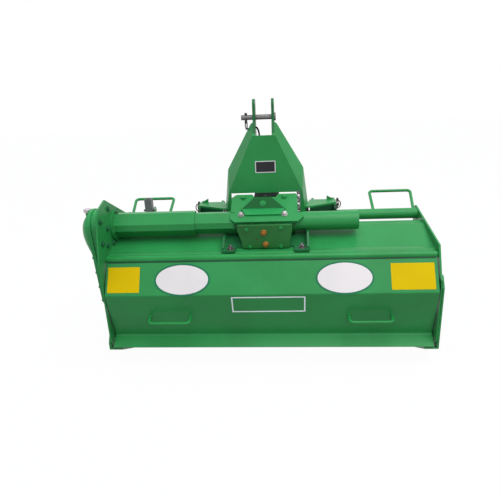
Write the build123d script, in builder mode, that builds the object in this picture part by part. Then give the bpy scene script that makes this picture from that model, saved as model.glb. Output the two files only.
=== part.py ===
from build123d import *
import math
import os

os.makedirs("parts", exist_ok=True)

# Light rotary tiller with side chain drive, in millimetres.
# X runs to the right as seen from behind, Y towards the tractor, Z up from the floor.

# Main places
hood_x = 57.5          # middle of the hood across
hood_width = 1186.0    # clear width between the side plates
gear_x = 47.5          # middle of gearbox, headstock and hitch
rotor_y = -15.0        # rotor axle
rotor_z = 207.0
drive_y = -42.0        # cross shaft from the gearbox to the chain case
drive_z = 493.0
front_tube_y = 128.0   # cross tube that carries the hitch
front_tube_z = 464.0
hinge_y = -175.0       # tailboard hinge
hinge_z = 401.0

# Sheets and plates
hood_sheet = 3.0
side_plate = 6.0
running_gap = 0.05     # radial play of a shaft in its bore
seat_gap = 0.25        # play of a plain pin in its hole

hood_left = hood_x - hood_width / 2
hood_right = hood_x + hood_width / 2


def across(x):
    """Upright plane across the machine's axles: local x is Y, local y is Z."""
    return Plane(origin=(x, 0, 0), x_dir=(0, 1, 0), z_dir=(1, 0, 0))


def behind(y):
    """Upright plane seen from behind: local x is X, local y is Z, normal to the rear."""
    return Plane(origin=(0, y, 0), x_dir=(1, 0, 0), z_dir=(0, -1, 0))


def level(z):
    """Flat plane at a height."""
    return Plane.XY.offset(z)


def save(piece, name):
    """Names a finished piece and writes it."""
    piece.part.label = name
    export_step(piece.part, f"parts/{name}.step")


# Hood: one sheet folded over the rotor, open below
hood_bend = 10.0
rear_lip = 15.0        # turned-down edge in front of the hinge tube
strip_rear_y = -156.0
strip_front_y = -125.0
strip_z = 413.0
ridge_y = 18.0
ridge_z = 455.0
band_front_y = 62.0
nose_y = 113.0
nose_z = 415.0
hood_front_y = 148.0
hood_front_z = 345.0

with BuildPart() as hood:
    with BuildSketch(across(hood_left)):
        with BuildLine():
            hood_line = FilletPolyline(
                (strip_rear_y, strip_z - rear_lip),
                (strip_rear_y, strip_z),
                (strip_front_y, strip_z),
                (ridge_y, ridge_z),
                (band_front_y, ridge_z),
                (nose_y, nose_z),
                (hood_front_y, hood_front_z),
                radius=hood_bend,
            )
            offset(hood_line, amount=hood_sheet, side=Side.RIGHT)
        make_face()
    extrude(amount=hood_width)
save(hood, "hood_sheet")

# Side plates: the left one rises to carry the drive beam and the chain case
plate_low_z = 75.0
plate_rear_y = -242.0
plate_front_y = 196.0
plate_front_z = 330.0
plate_heel_y = 150.0
plate_top_y = 168.0
plate_top_z = 490.0
plate_corner = 25.0
plate_nose = 12.0
axle_hole = 34.0
crest_y = -105.0       # highest corner of the left plate, over the drive beam
crest_z = 609.0
crest_front_y = 129.0
brow_y = -175.0
brow_z = 591.0
neck_y = -197.0
neck_z = 571.0
flank_z = 408.0
shoulder_y = -178.0    # rear shoulder of the right plate
shoulder_z = 437.0
haunch_y = -222.0
haunch_z = 343.0

with BuildPart() as side_left:
    with BuildSketch(across(hood_left - side_plate)):
        with BuildLine():
            Polyline(
                (plate_rear_y, plate_low_z),
                (plate_rear_y, flank_z),
                (neck_y, neck_z),
                (brow_y, brow_z),
                (crest_y, crest_z),
                (crest_front_y, plate_top_z),
                (plate_top_y, plate_top_z),
                (plate_front_y, plate_front_z),
                (plate_heel_y, plate_low_z),
                close=True,
            )
        make_face()
        fillet(vertices().group_by(Axis.Y)[0], plate_corner)
        fillet(vertices().sort_by_distance((plate_top_y, plate_top_z, 0))[0], plate_nose)
        with Locations((rotor_y, rotor_z)):
            Circle(axle_hole, mode=Mode.SUBTRACT)
    extrude(amount=side_plate)
save(side_left, "side_plate_left")

with BuildPart() as side_right:
    with BuildSketch(across(hood_right)):
        with BuildLine():
            Polyline(
                (plate_rear_y, plate_low_z),
                (plate_rear_y, plate_front_z),
                (haunch_y, haunch_z),
                (shoulder_y, shoulder_z),
                (plate_top_y, plate_top_z),
                (plate_front_y, plate_front_z),
                (plate_heel_y, plate_low_z),
                close=True,
            )
        make_face()
        fillet(vertices().group_by(Axis.Y)[0], plate_corner)
        fillet(vertices().sort_by_distance((plate_top_y, plate_top_z, 0))[0], plate_nose)
        with Locations((rotor_y, rotor_z)):
            Circle(axle_hole, mode=Mode.SUBTRACT)
    extrude(amount=side_plate)
save(side_right, "side_plate_right")

# Front cross tube between the side plates
front_tube_r = 21.2
front_tube_wall = 3.2

with BuildPart() as front_tube:
    with BuildSketch(across(hood_left)):
        with Locations((front_tube_y, front_tube_z)):
            Circle(front_tube_r)
            Circle(front_tube_r - front_tube_wall, mode=Mode.SUBTRACT)
    extrude(amount=hood_width)
save(front_tube, "front_cross_tube")

# Tailboard: folded sheet hung from a tube that turns on two pivots
tail_gap = 6.0
tail_sheet = 3.0
hinge_r = 13.45
pivot_r = 10.4
pivot_reach = 40.0
tail_fold_y = -254.0
tail_fold_z = 290.0
tail_heel_y = -207.0
tail_heel_z = 106.0
tail_lip_y = -251.0
tail_lip_z = 78.0
tail_bend = 8.0
tail_left = hood_left + tail_gap
tail_width = hood_width - 2 * tail_gap

with BuildPart() as tail_sheet_part:
    with BuildSketch(across(tail_left)):
        with BuildLine():
            tail_line = FilletPolyline(
                (hinge_y - 10, hinge_z + 1),
                (tail_fold_y, tail_fold_z),
                (tail_heel_y, tail_heel_z),
                (tail_lip_y, tail_lip_z),
                radius=tail_bend,
            )
            offset(tail_line, amount=tail_sheet, side=Side.LEFT)
        make_face()
        with Locations((hinge_y, hinge_z)):
            Circle(hinge_r, mode=Mode.SUBTRACT)
    extrude(amount=tail_width)
save(tail_sheet_part, "tailboard_sheet")

with BuildPart() as hinge_tube:
    with BuildSketch(across(tail_left)):
        with Locations((hinge_y, hinge_z)):
            Circle(hinge_r)
            Circle(pivot_r + running_gap, mode=Mode.SUBTRACT)
    extrude(amount=tail_width)
save(hinge_tube, "tailboard_hinge_tube")

# Two bent bars to lift the tailboard by
handle_bar = 5.5
handle_span = 150.0
handle_reach = 38.0
handle_bend = 14.0
handle_z = 195.0
handle_offset = 361.0
heel_run = tail_heel_y - tail_fold_y
heel_drop = tail_heel_z - tail_fold_z
heel_length = math.hypot(heel_run, heel_drop)
handle_y = tail_fold_y + heel_run * (handle_z - tail_fold_z) / heel_drop

with BuildPart() as handles:
    for handle_x in (hood_x - handle_offset, hood_x + handle_offset):
        handle_plane = Plane(
            origin=(handle_x, handle_y, handle_z),
            x_dir=(1, 0, 0),
            z_dir=(0, -heel_run / heel_length, -heel_drop / heel_length),
        )
        with BuildLine(handle_plane) as handle_line:
            FilletPolyline(
                (-handle_span / 2, 0),
                (-handle_span / 2, -handle_reach),
                (handle_span / 2, -handle_reach),
                (handle_span / 2, 0),
                radius=handle_bend,
            )
        handle_start = Plane(origin=handle_line.line @ 0, z_dir=handle_line.line % 0)
        with BuildSketch(handle_start):
            Circle(handle_bar)
        sweep(path=handle_line.line)
save(handles, "tailboard_handles")

# Pivot spigots on the side plates, inside the ends of the hinge tube
for side, plate_x in (("left", hood_left), ("right", hood_right)):
    inward = 1 if side == "left" else -1
    with BuildPart() as pivot:
        with BuildSketch(across(plate_x)):
            with Locations((hinge_y, hinge_z)):
                Circle(pivot_r)
        extrude(amount=inward * pivot_reach)
    save(pivot, f"tailboard_pivot_{side}")

# Skids: a runner with turned-up ends below each side plate.
# The right one rises as the outer plate over the rotor bearing.
skid_plate = 6.0
runner_width = 50.0
runner_rear_y = -245.0
runner_rear_z = 64.0
runner_flat_rear_y = -128.0
runner_flat_front_y = 143.0
runner_front_y = 213.0
runner_front_z = 58.0
runner_bend = 40.0
skid_low_top = 128.0
skid_high_top = 338.0

for side in ("left", "right"):
    outer_x = hood_left - side_plate - skid_plate if side == "left" else hood_right + side_plate
    runner_x = outer_x if side == "left" else outer_x + skid_plate - runner_width
    web_top = skid_low_top if side == "left" else skid_high_top
    with BuildPart() as skid:
        with BuildSketch(across(runner_x)):
            with BuildLine():
                runner_line = FilletPolyline(
                    (runner_rear_y, runner_rear_z),
                    (runner_flat_rear_y, 0),
                    (runner_flat_front_y, 0),
                    (runner_front_y, runner_front_z),
                    radius=runner_bend,
                )
                offset(runner_line, amount=skid_plate, side=Side.LEFT)
            make_face()
        extrude(amount=runner_width)
        with BuildSketch(across(outer_x)):
            with BuildLine():
                web_line = FilletPolyline(
                    (runner_rear_y, runner_rear_z),
                    (runner_flat_rear_y, 0),
                    (runner_flat_front_y, 0),
                    (runner_front_y, runner_front_z),
                    radius=runner_bend,
                )
                Polyline(
                    web_line @ 1,
                    (runner_front_y - 17, web_top - 30),
                    (runner_front_y - 47, web_top),
                    (runner_rear_y + 24, web_top),
                    (runner_rear_y, web_top - 36),
                    web_line @ 0,
                )
            make_face()
        extrude(amount=skid_plate)
    save(skid, f"skid_{side}")

# Rotor: a tube with six flanges, each with four bent hoes bolted on
rotor_tube_r = 30.0
rotor_end_gap = 25.0
stub_r = 20.0
flange_count = 6
flange_pitch = 200.0
flange_r = 78.0
flange_t = 8.0
hoes_per_flange = 4
hoe_reach = 193.5      # outer face of the hoe's leg from the axle
hoe_t = 7.0
hoe_width = 44.0
hoe_leg = 78.0
hoe_bend = 22.0
hoe_root = 42.0
hoe_root_back = 16.0
hoe_root_edge = 18.0
hoe_waist = 120.0       # where the curved edges lie nearest to the axle's line
hoe_waist_back = 15.0
hoe_waist_edge = 20.0
hoe_tip_back = 18.0
hoe_tip_edge = 25.0
hoe_lead = 11.0        # turn of one flange to the next, in degrees

first_flange_x = hood_x - flange_pitch * (flange_count - 1) / 2
flange_places = [first_flange_x + flange_pitch * i for i in range(flange_count)]
rotor_tube_left = hood_left + rotor_end_gap
rotor_tube_right = hood_right - rotor_end_gap

hub_r = 36.0
hub_length = rotor_end_gap - 5.0
hub_flange_r = 60.0
hub_flange_t = 8.0
case_entry = 34.0      # how far the axle reaches into the chain case
right_stub_end = hood_right - 1.0
left_stub_end = hood_left - side_plate - case_entry

with BuildPart() as rotor_tube:
    with BuildSketch(across(rotor_tube_left)):
        with Locations((rotor_y, rotor_z)):
            Circle(rotor_tube_r)
    extrude(amount=rotor_tube_right - rotor_tube_left)
    with BuildSketch(across(left_stub_end)):
        with Locations((rotor_y, rotor_z)):
            Circle(stub_r)
    extrude(amount=right_stub_end - left_stub_end)
    for flange_x in flange_places:
        with BuildSketch(across(flange_x - flange_t / 2)):
            with Locations((rotor_y, rotor_z)):
                Circle(flange_r)
        extrude(amount=flange_t)
save(rotor_tube, "rotor_tube")


def one_hoe(hand):
    """Hoe at the middle of a flange, its shank up Z, its leg bent to one hand along X."""
    face = hand * flange_t / 2
    with BuildPart() as blade:
        with BuildSketch(Plane.XZ.offset(-hoe_width)):
            with BuildLine():
                FilletPolyline(
                    (face, hoe_root),
                    (face, hoe_reach),
                    (face + hand * hoe_leg, hoe_reach),
                    radius=hoe_bend,
                )
                FilletPolyline(
                    (face + hand * hoe_t, hoe_root),
                    (face + hand * hoe_t, hoe_reach - hoe_t),
                    (face + hand * hoe_leg, hoe_reach - hoe_t),
                    radius=hoe_bend - hoe_t,
                )
                Line((face, hoe_root), (face + hand * hoe_t, hoe_root))
                Line(
                    (face + hand * hoe_leg, hoe_reach - hoe_t),
                    (face + hand * hoe_leg, hoe_reach),
                )
            make_face()
        extrude(amount=2 * hoe_width)
        with BuildSketch(Plane.YZ.offset(-2 * hoe_leg)):
            with BuildLine():
                root_edge = Line(
                    (-hoe_root_back, hoe_root - 4),
                    (hoe_root_edge, hoe_root - 4),
                )
                cutting_edge = ThreePointArc(
                    root_edge @ 1,
                    (hoe_waist_edge, hoe_waist),
                    (hoe_tip_edge, hoe_reach + 4),
                )
                tip_edge = Line(cutting_edge @ 1, (-hoe_tip_back, hoe_reach + 4))
                ThreePointArc(
                    tip_edge @ 1,
                    (-hoe_waist_back, hoe_waist),
                    root_edge @ 0,
                )
            make_face()
        extrude(amount=4 * hoe_leg, mode=Mode.INTERSECT)
    return blade.part


for hand_name, hand in (("left_hand", -1), ("right_hand", 1)):
    hoe_blank = one_hoe(hand)
    hoe_places = []
    for number, flange_x in enumerate(flange_places):
        for k in range(hoes_per_flange // 2):
            turn = number * hoe_lead + k * 180 + (90 if hand > 0 else 0)
            hoe_places.append(Location((flange_x, rotor_y, rotor_z), (turn, 0, 0)))
    with BuildPart() as hoes:
        with Locations(*hoe_places):
            add(hoe_blank)
    save(hoes, f"rotor_hoes_{hand_name}")

# Right rotor bearing: flanged hub on the inside of the side plate
with BuildPart() as bearing_hub:
    with BuildSketch(across(hood_right)):
        with Locations((rotor_y, rotor_z)):
            Circle(hub_flange_r)
    extrude(amount=-hub_flange_t)
    with BuildSketch(across(hood_right)):
        with Locations((rotor_y, rotor_z)):
            Circle(hub_r)
    extrude(amount=-hub_length)
    with BuildSketch(across(hood_right)):
        with Locations((rotor_y, rotor_z)):
            Circle(stub_r + running_gap)
    extrude(amount=-hub_length, mode=Mode.SUBTRACT)
save(bearing_hub, "rotor_bearing_hub")

# Chain case: a closed box along the left side plate, with a pressed cover
case_top_r = 62.0
case_low_r = 58.0
case_depth = 73.0
case_rim = 5.0
case_rim_t = 8.0
cover_plate = 5.0
case_inner_x = hood_left - side_plate
case_outer_x = case_inner_x - case_depth

with BuildPart() as case_body:
    with BuildSketch(across(case_inner_x)):
        with Locations((drive_y, drive_z)):
            Circle(case_top_r)
        with Locations((rotor_y, rotor_z)):
            Circle(case_low_r)
        make_hull()
    extrude(amount=-case_depth)
    with BuildSketch(across(case_outer_x)):
        with Locations((drive_y, drive_z)):
            Circle(case_top_r + case_rim)
        with Locations((rotor_y, rotor_z)):
            Circle(case_low_r + case_rim)
        make_hull()
    extrude(amount=case_rim_t)
    with BuildSketch(across(case_inner_x)):
        with Locations((rotor_y, rotor_z)):
            Circle(stub_r + running_gap)
    extrude(amount=-case_entry - 2, mode=Mode.SUBTRACT)
save(case_body, "chain_case_body")

# The cover bulges over the upper sprocket and runs out towards the rotor
bulge_stations = (
    (547, 6, 14),
    (525, 32, 38),
    (478, 47.5, 52),
    (420, 42, 49),
    (350, 20, 35),
    (300, 7, 20),
)
case_lean = (rotor_y - drive_y) / (drive_z - rotor_z)
filler_x = case_outer_x - 20.0
filler_r = 9.0
filler_top_z = 548.0

with BuildPart() as case_cover:
    for station_z, bulge, half_width in bulge_stations:
        station_y = drive_y + (drive_z - station_z) * case_lean
        with BuildSketch(level(station_z)):
            with Locations((case_outer_x, station_y)):
                Ellipse(bulge, half_width)
    loft()
    with BuildSketch(level(filler_top_z - 36)):
        with Locations((filler_x, drive_y)):
            Circle(filler_r)
    extrude(amount=36)
    split(bisect_by=across(case_outer_x - cover_plate), keep=Keep.BOTTOM)
    with BuildSketch(across(case_outer_x)):
        with Locations((drive_y, drive_z)):
            Circle(case_top_r + case_rim)
        with Locations((rotor_y, rotor_z)):
            Circle(case_low_r + case_rim)
        make_hull()
    extrude(amount=-cover_plate)
save(case_cover, "chain_case_cover")

cap_r = 14.0
cap_height = 13.0

with BuildPart() as filler_cap:
    with BuildSketch(level(filler_top_z)):
        with Locations((filler_x, drive_y)):
            Circle(cap_r)
    extrude(amount=cap_height)
    chamfer(filler_cap.faces().sort_by(Axis.Z)[-1].edges(), 2.5)
save(filler_cap, "oil_filler_cap")


def beam_outline(across_flats, flat):
    """Corners of a square beam on its edge with its corners cut to narrow flats."""
    a = across_flats / 2
    f = flat / 2
    ring = [(-a, f), (-f, a), (f, a), (a, f), (a, -f), (f, -a), (-f, -a), (-a, -f)]
    return [(drive_y + y, drive_z + z) for y, z in ring]


# Drive beam: an outer sleeve from the chain case, and an inner beam that slides in it
sleeve_across = 94.0
sleeve_flat = 24.0
inner_across = 80.0
inner_flat = 22.0
inner_wall = 6.0
beam_fit = 0.25
beam_flange_r = 58.0
beam_flange_t = 10.0
sleeve_left = hood_left + beam_flange_t
sleeve_right = -215.5
inner_left = -330.0
inner_right = -67.0

with BuildPart() as beam_flange:
    with BuildSketch(across(hood_left)):
        with Locations((drive_y, drive_z)):
            Circle(beam_flange_r)
        with BuildLine():
            Polyline(
                (strip_front_y, strip_z),
                (ridge_y, ridge_z),
                (ridge_y, strip_z - 20),
                (strip_front_y, strip_z - 20),
                close=True,
            )
        make_face(mode=Mode.SUBTRACT)
    extrude(amount=beam_flange_t)
save(beam_flange, "drive_beam_flange")

with BuildPart() as sleeve:
    with BuildSketch(across(sleeve_left)):
        with BuildLine():
            Polyline(*beam_outline(sleeve_across, sleeve_flat), close=True)
        make_face()
        with BuildLine():
            Polyline(*beam_outline(inner_across + 2 * beam_fit, inner_flat), close=True)
        make_face(mode=Mode.SUBTRACT)
    extrude(amount=sleeve_right - sleeve_left)
save(sleeve, "drive_beam_sleeve")

with BuildPart() as inner_beam:
    with BuildSketch(across(inner_left)):
        with BuildLine():
            Polyline(*beam_outline(inner_across, inner_flat), close=True)
        make_face()
        with BuildLine():
            Polyline(*beam_outline(inner_across - 2 * inner_wall, inner_flat), close=True)
        make_face(mode=Mode.SUBTRACT)
    extrude(amount=inner_right - inner_left)
save(inner_beam, "drive_beam_inner")

# Gearbox: cast housing on the hood, with its rear cover and a sloping top plate
gear_cover_y = -127.0
gear_cover_t = 10.0
gear_rear_y = gear_cover_y + gear_cover_t
gear_front_y = 55.0
gear_half_top = 100.0
gear_low_left = 84.0    # the lower part is narrower, more so on the left
gear_low_right = 92.0
gear_waist = 52.0
gear_shoulder = 8.0
top_slope = 0.544       # rise of the top plate towards the tractor
top_rear_y = -97.0
top_rear_z = 510.0      # upper face at its rear edge
top_front_y = 34.0
top_plate_t = 10.0
saddle_t = 8.0
slope_angle = math.degrees(math.atan(top_slope))
hood_rise = (ridge_z - strip_z) / (ridge_y - strip_front_y)
saddle_lift = saddle_t * math.hypot(1.0, hood_rise)
saddle_knee_y = ridge_y - (saddle_lift - saddle_t) / hood_rise


def top_face_z(y):
    """Height of the top plate's upper face."""
    return top_rear_z + (y - top_rear_y) * top_slope


def saddle_face_z(y):
    """Height of the saddle plate's upper face on the hood's slope."""
    return strip_z + saddle_lift + (y - strip_front_y) * hood_rise


under_top = top_plate_t / math.cos(math.radians(slope_angle))
boss_r = 44.0
side_boss = 12.0
pto_z = 518.0           # input shaft, above the front cross tube
pto_boss_r = 38.0
pto_boss_y = gear_front_y + 16.0
pto_neck_r = 20.0
pto_bore_depth = 36.0

with BuildPart() as housing:
    with BuildSketch(behind(gear_rear_y)):
        with BuildLine():
            Polyline(
                (gear_x - gear_half_top, top_face_z(gear_front_y)),
                (gear_x + gear_half_top, top_face_z(gear_front_y)),
                (gear_x + gear_half_top, drive_z - gear_shoulder),
                (gear_x + gear_low_right, drive_z - gear_waist),
                (gear_x + gear_low_right, strip_z - saddle_t),
                (gear_x - gear_low_left, strip_z - saddle_t),
                (gear_x - gear_low_left, drive_z - gear_waist),
                (gear_x - gear_half_top, drive_z - gear_shoulder),
                close=True,
            )
        housing_face = make_face()
        fillet(housing_face.vertices().group_by(Axis.Y)[1:-1], 12)
    extrude(amount=gear_rear_y - gear_front_y)
    with BuildSketch(across(inner_right)):
        with Locations((drive_y, drive_z)):
            Circle(boss_r)
    extrude(amount=gear_x + gear_half_top + side_boss - inner_right)
    with BuildSketch(across(inner_right - 10)):
        with BuildLine():
            Polyline(
                (gear_rear_y, saddle_face_z(gear_rear_y)),
                (gear_rear_y, top_face_z(gear_rear_y) - under_top),
                (top_front_y, top_face_z(top_front_y) - under_top),
                (gear_front_y, pto_z + pto_boss_r + 5),
                (gear_front_y, ridge_z + saddle_t),
                (saddle_knee_y, ridge_z + saddle_t),
                close=True,
            )
        make_face()
    extrude(amount=3 * gear_half_top, mode=Mode.INTERSECT)
    with BuildSketch(behind(gear_front_y)):
        with Locations((gear_x, pto_z)):
            Circle(pto_boss_r)
    extrude(amount=gear_front_y - pto_boss_y)
    with BuildSketch(behind(pto_boss_y)):
        with Locations((gear_x, pto_z)):
            Circle(pto_neck_r + running_gap)
    extrude(amount=pto_bore_depth, mode=Mode.SUBTRACT)
save(housing, "gearbox_housing")

cover_low_z = strip_z + 4.0
cover_top_z = drive_z + 13.0

with BuildPart() as gear_cover:
    with BuildSketch(behind(gear_cover_y)):
        with BuildLine():
            Polyline(
                (gear_x - gear_half_top, cover_top_z),
                (gear_x + gear_half_top, cover_top_z),
                (gear_x + gear_half_top, drive_z - gear_shoulder),
                (gear_x + gear_low_right, drive_z - gear_waist),
                (gear_x + gear_low_right, cover_low_z),
                (gear_x - gear_low_left, cover_low_z),
                (gear_x - gear_low_left, drive_z - gear_waist),
                (gear_x - gear_half_top, drive_z - gear_shoulder),
                close=True,
            )
        cover_face = make_face()
        fillet(cover_face.vertices(), 8)
    extrude(amount=-gear_cover_t)
    chamfer(gear_cover.faces().sort_by(Axis.Y)[0].edges(), 1.5)
save(gear_cover, "gearbox_rear_cover")

# Sloping plate on top of the gearbox, cut to clear the drive beam
top_left = 128.0
top_right = 122.0
top_wing = 144.0       # the rear right corner reaches out over the cover tube
wing_start = 24.0
wing_end = 44.0
rear_cut = 18.0
ear_cut = 16.0
notch_half = 50.0
notch_depth = 18.0
top_plane = Plane(
    origin=(gear_x, top_rear_y, top_rear_z),
    x_dir=(1, 0, 0),
    z_dir=(0, -math.sin(math.radians(slope_angle)), math.cos(math.radians(slope_angle))),
)
top_length = (top_front_y - top_rear_y) / math.cos(math.radians(slope_angle))
beam_clear = 2.0
cover_tube_r = 35.0

with BuildPart() as top_plate:
    with BuildSketch(top_plane):
        with BuildLine():
            Polyline(
                (rear_cut - top_left, 0),
                (-top_left, rear_cut),
                (-top_left, top_length - ear_cut),
                (ear_cut - top_left, top_length),
                (-notch_half, top_length),
                (notch_depth / 2 - notch_half, top_length - notch_depth),
                (notch_half - notch_depth / 2, top_length - notch_depth),
                (notch_half, top_length),
                (top_right - ear_cut / 4, top_length),
                (top_right, top_length - ear_cut),
                (top_right, wing_end),
                (top_wing, wing_start),
                (top_right, 0),
                close=True,
            )
        make_face()
    extrude(amount=-top_plate_t)
    with BuildSketch(across(inner_right)):
        with BuildLine():
            Polyline(*beam_outline(inner_across + 2 * beam_clear, inner_flat), close=True)
        make_face()
    extrude(amount=-100, mode=Mode.SUBTRACT)
    with BuildSketch(across(gear_x + gear_half_top + side_boss)):
        with Locations((drive_y, drive_z)):
            Circle(cover_tube_r + beam_clear)
    extrude(amount=100, mode=Mode.SUBTRACT)
save(top_plate, "gearbox_top_plate")

# Folded eye bracket on the top plate
eye_x = gear_x - 6.0
eye_t = 6.0
eye_foot = 36.0
eye_half = 83.0
eye_top_half = 31.0
eye_height = 46.0
eye_hole_r = 11.5
eye_y = -38.0
eye_base_z = top_face_z(eye_y)
foot_start = (eye_y - top_rear_y) / math.cos(math.radians(slope_angle))

with BuildPart() as eye_bracket:
    with BuildSketch(top_plane):
        with BuildLine():
            Polyline(
                (eye_x - gear_x - eye_half, foot_start),
                (eye_x - gear_x + eye_half, foot_start),
                (eye_x - gear_x + eye_half - 18, foot_start - eye_foot),
                (eye_x - gear_x - eye_half + 18, foot_start - eye_foot),
                close=True,
            )
        make_face()
    extrude(amount=eye_t)
    with BuildSketch(behind(eye_y)):
        with BuildLine():
            Polyline(
                (eye_x - eye_half, eye_base_z),
                (eye_x + eye_half, eye_base_z),
                (eye_x + eye_top_half, eye_base_z + eye_height),
                (eye_x - eye_top_half, eye_base_z + eye_height),
                close=True,
            )
        make_face()
        with Locations((eye_x, eye_base_z + eye_height / 2)):
            Circle(eye_hole_r, mode=Mode.SUBTRACT)
    extrude(amount=eye_t)
save(eye_bracket, "gearbox_eye_bracket")

# Two oil plugs in the rear cover
plug_r = 9.0
plug_head = 8.0
plug_high = 16.0       # the two plugs below the level of the cross shaft
plug_low = 61.0
plug_shift = 3.0

with BuildPart() as plugs:
    with BuildSketch(behind(gear_cover_y)):
        with Locations((gear_x - plug_shift, drive_z - plug_high), (gear_x + plug_shift, drive_z - plug_low)):
            RegularPolygon(plug_r, 6)
    extrude(amount=plug_head)
save(plugs, "gearbox_oil_plugs")

# Saddle: folded base plate on the hood with a cheek on each side under beam and tube
saddle_left = 156.0
saddle_right = 161.0
saddle_rear_y = -160.0
saddle_front_y = 30.0
cheek_t = 8.0
cheek_heel_y = -148.0
cheek_rear_y = -100.0
cheek_front_y = -20.0
saddle_play = 7.0       # open beside the gearbox, behind its rear face
overcut = 20.0          # how far a cutting shape runs past the sheet it cuts

with BuildPart() as saddle:
    with BuildSketch(across(gear_x - saddle_left)):
        with BuildLine():
            saddle_line = FilletPolyline(
                (saddle_rear_y, strip_z),
                (strip_front_y, strip_z),
                (ridge_y, ridge_z),
                (saddle_front_y, ridge_z),
                radius=hood_bend,
            )
            offset(saddle_line, amount=saddle_t, side=Side.LEFT)
        make_face()
    extrude(amount=saddle_left + saddle_right)
    with BuildSketch(across(gear_x - saddle_left)):
        with BuildLine():
            Polyline(
                (strip_front_y, strip_z + 2),
                (cheek_heel_y, strip_z + 2),
                (cheek_heel_y, strip_z + 2 * saddle_t),
                (cheek_rear_y, drive_z - inner_across / 2),
                (cheek_front_y, drive_z - inner_across / 2),
                (cheek_front_y, saddle_face_z(cheek_front_y) - 2),
                close=True,
            )
        make_face()
    extrude(amount=cheek_t)
    with BuildSketch(across(gear_x + saddle_right)):
        with BuildLine():
            Polyline(
                (strip_front_y, strip_z + 2),
                (cheek_heel_y, strip_z + 2),
                (cheek_heel_y, strip_z + 2 * saddle_t),
                (cheek_rear_y, drive_z - 26),
                (saddle_front_y, drive_z - 26),
                (saddle_front_y, ridge_z + 2),
                (ridge_y, ridge_z + 2),
                close=True,
            )
        make_face()
        with Locations((drive_y, drive_z)):
            Circle(cover_tube_r, mode=Mode.SUBTRACT)
    extrude(amount=-cheek_t)
    with BuildSketch(level(strip_z - 10)):
        with Locations((gear_x, (saddle_rear_y - overcut + gear_rear_y) / 2)):
            Rectangle(
                2 * (gear_half_top + saddle_play),
                gear_rear_y - saddle_rear_y + overcut,
            )
    extrude(amount=60, mode=Mode.SUBTRACT)
save(saddle, "gearbox_saddle")

# Round cover tube to the right of the gearbox, closed at its end
cover_tube_left = gear_x + gear_half_top + side_boss
cover_tube_right = 392.5
cover_tube_wall = 3.0

with BuildPart() as cover_tube:
    with BuildSketch(across(cover_tube_left)):
        with Locations((drive_y, drive_z)):
            Circle(cover_tube_r)
    extrude(amount=cover_tube_right - cover_tube_left)
    with BuildSketch(across(cover_tube_left)):
        with Locations((drive_y, drive_z)):
            Circle(cover_tube_r - cover_tube_wall)
    extrude(amount=cover_tube_right - cover_tube_left - cover_tube_wall, mode=Mode.SUBTRACT)
save(cover_tube, "shaft_cover_tube")

# Input shaft: splined stub turning in the gearbox
pto_r = 17.45
pto_root_r = 15.0
spline_count = 6
spline_width = 8.7
spline_length = 76.0
pto_end_y = pto_boss_y + spline_length + 8.0
spline_depth = pto_r - pto_root_r + 2.0

with BuildPart() as pto_shaft:
    with BuildSketch(behind(pto_boss_y - pto_bore_depth + 2)):
        with Locations((gear_x, pto_z)):
            Circle(pto_neck_r)
    extrude(amount=pto_boss_y - pto_bore_depth + 2 - pto_end_y + spline_length)
    with BuildSketch(behind(pto_end_y)):
        with Locations((gear_x, pto_z)):
            Circle(pto_root_r)
            with PolarLocations(pto_r - spline_depth / 2, spline_count):
                Rectangle(spline_depth, spline_width)
    extrude(amount=spline_length)
save(pto_shaft, "pto_shaft")

# Guard over the input shaft: a trough open below, its rear wall on the gearbox
guard_half = 50.0
guard_top_z = 568.0
guard_low_z = 492.0
guard_wall_low_z = 466.0
guard_wall = 4.0
guard_corner = 16.0
guard_front_y = 205.0

with BuildPart() as pto_guard:
    with BuildSketch(behind(gear_front_y)):
        with BuildLine():
            Polyline(
                (gear_x - guard_half, guard_low_z),
                (gear_x - guard_half, guard_top_z - guard_corner),
                (gear_x - guard_half + guard_corner, guard_top_z),
                (gear_x + guard_half - guard_corner, guard_top_z),
                (gear_x + guard_half, guard_top_z - guard_corner),
                (gear_x + guard_half, guard_low_z),
                close=True,
            )
        guard_face = make_face()
        offset(guard_face, amount=-guard_wall, kind=Kind.INTERSECTION, mode=Mode.SUBTRACT)
        with Locations((gear_x, guard_low_z)):
            Rectangle(2 * (guard_half - guard_wall), 4 * guard_wall, mode=Mode.SUBTRACT)
    extrude(amount=gear_front_y - guard_front_y)
    with BuildSketch(behind(gear_front_y)):
        with BuildLine():
            Polyline(
                (gear_x - guard_half, guard_wall_low_z),
                (gear_x - guard_half, guard_top_z - guard_corner),
                (gear_x - guard_half + guard_corner, guard_top_z),
                (gear_x + guard_half - guard_corner, guard_top_z),
                (gear_x + guard_half, guard_top_z - guard_corner),
                (gear_x + guard_half, guard_wall_low_z),
                close=True,
            )
        make_face()
        with Locations((gear_x, pto_z)):
            Circle(pto_boss_r, mode=Mode.SUBTRACT)
    extrude(amount=-guard_wall)
save(pto_guard, "pto_guard")

# Headstock: a folded shell, open in front and below, standing on the front tube
stock_sheet = 6.0
stock_rear_y = 60.0
stock_front_y = 130.0
stock_foot_z = 481.0
stock_shoulder_z = 800.0
stock_peak_y = 93.0
stock_peak_z = 845.0
stock_waist_z = 655.0
panel_low_z = 581.0
stock_top_half = 43.5
stock_panel_half = 145.0
stock_foot_half = 172.0
stock_waist_half = 151.0
window_half = 134.0
lug_half = 40.5        # outer faces of the two lugs inside the shell
lug_t = 10.0


def plane_through(a, b, c, hand):
    """Plane through three points, its normal away from the middle of the machine."""
    a = Vector(*a)
    return Plane(origin=a, z_dir=(Vector(*b) - a).cross(Vector(*c) - a) * hand)


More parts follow.
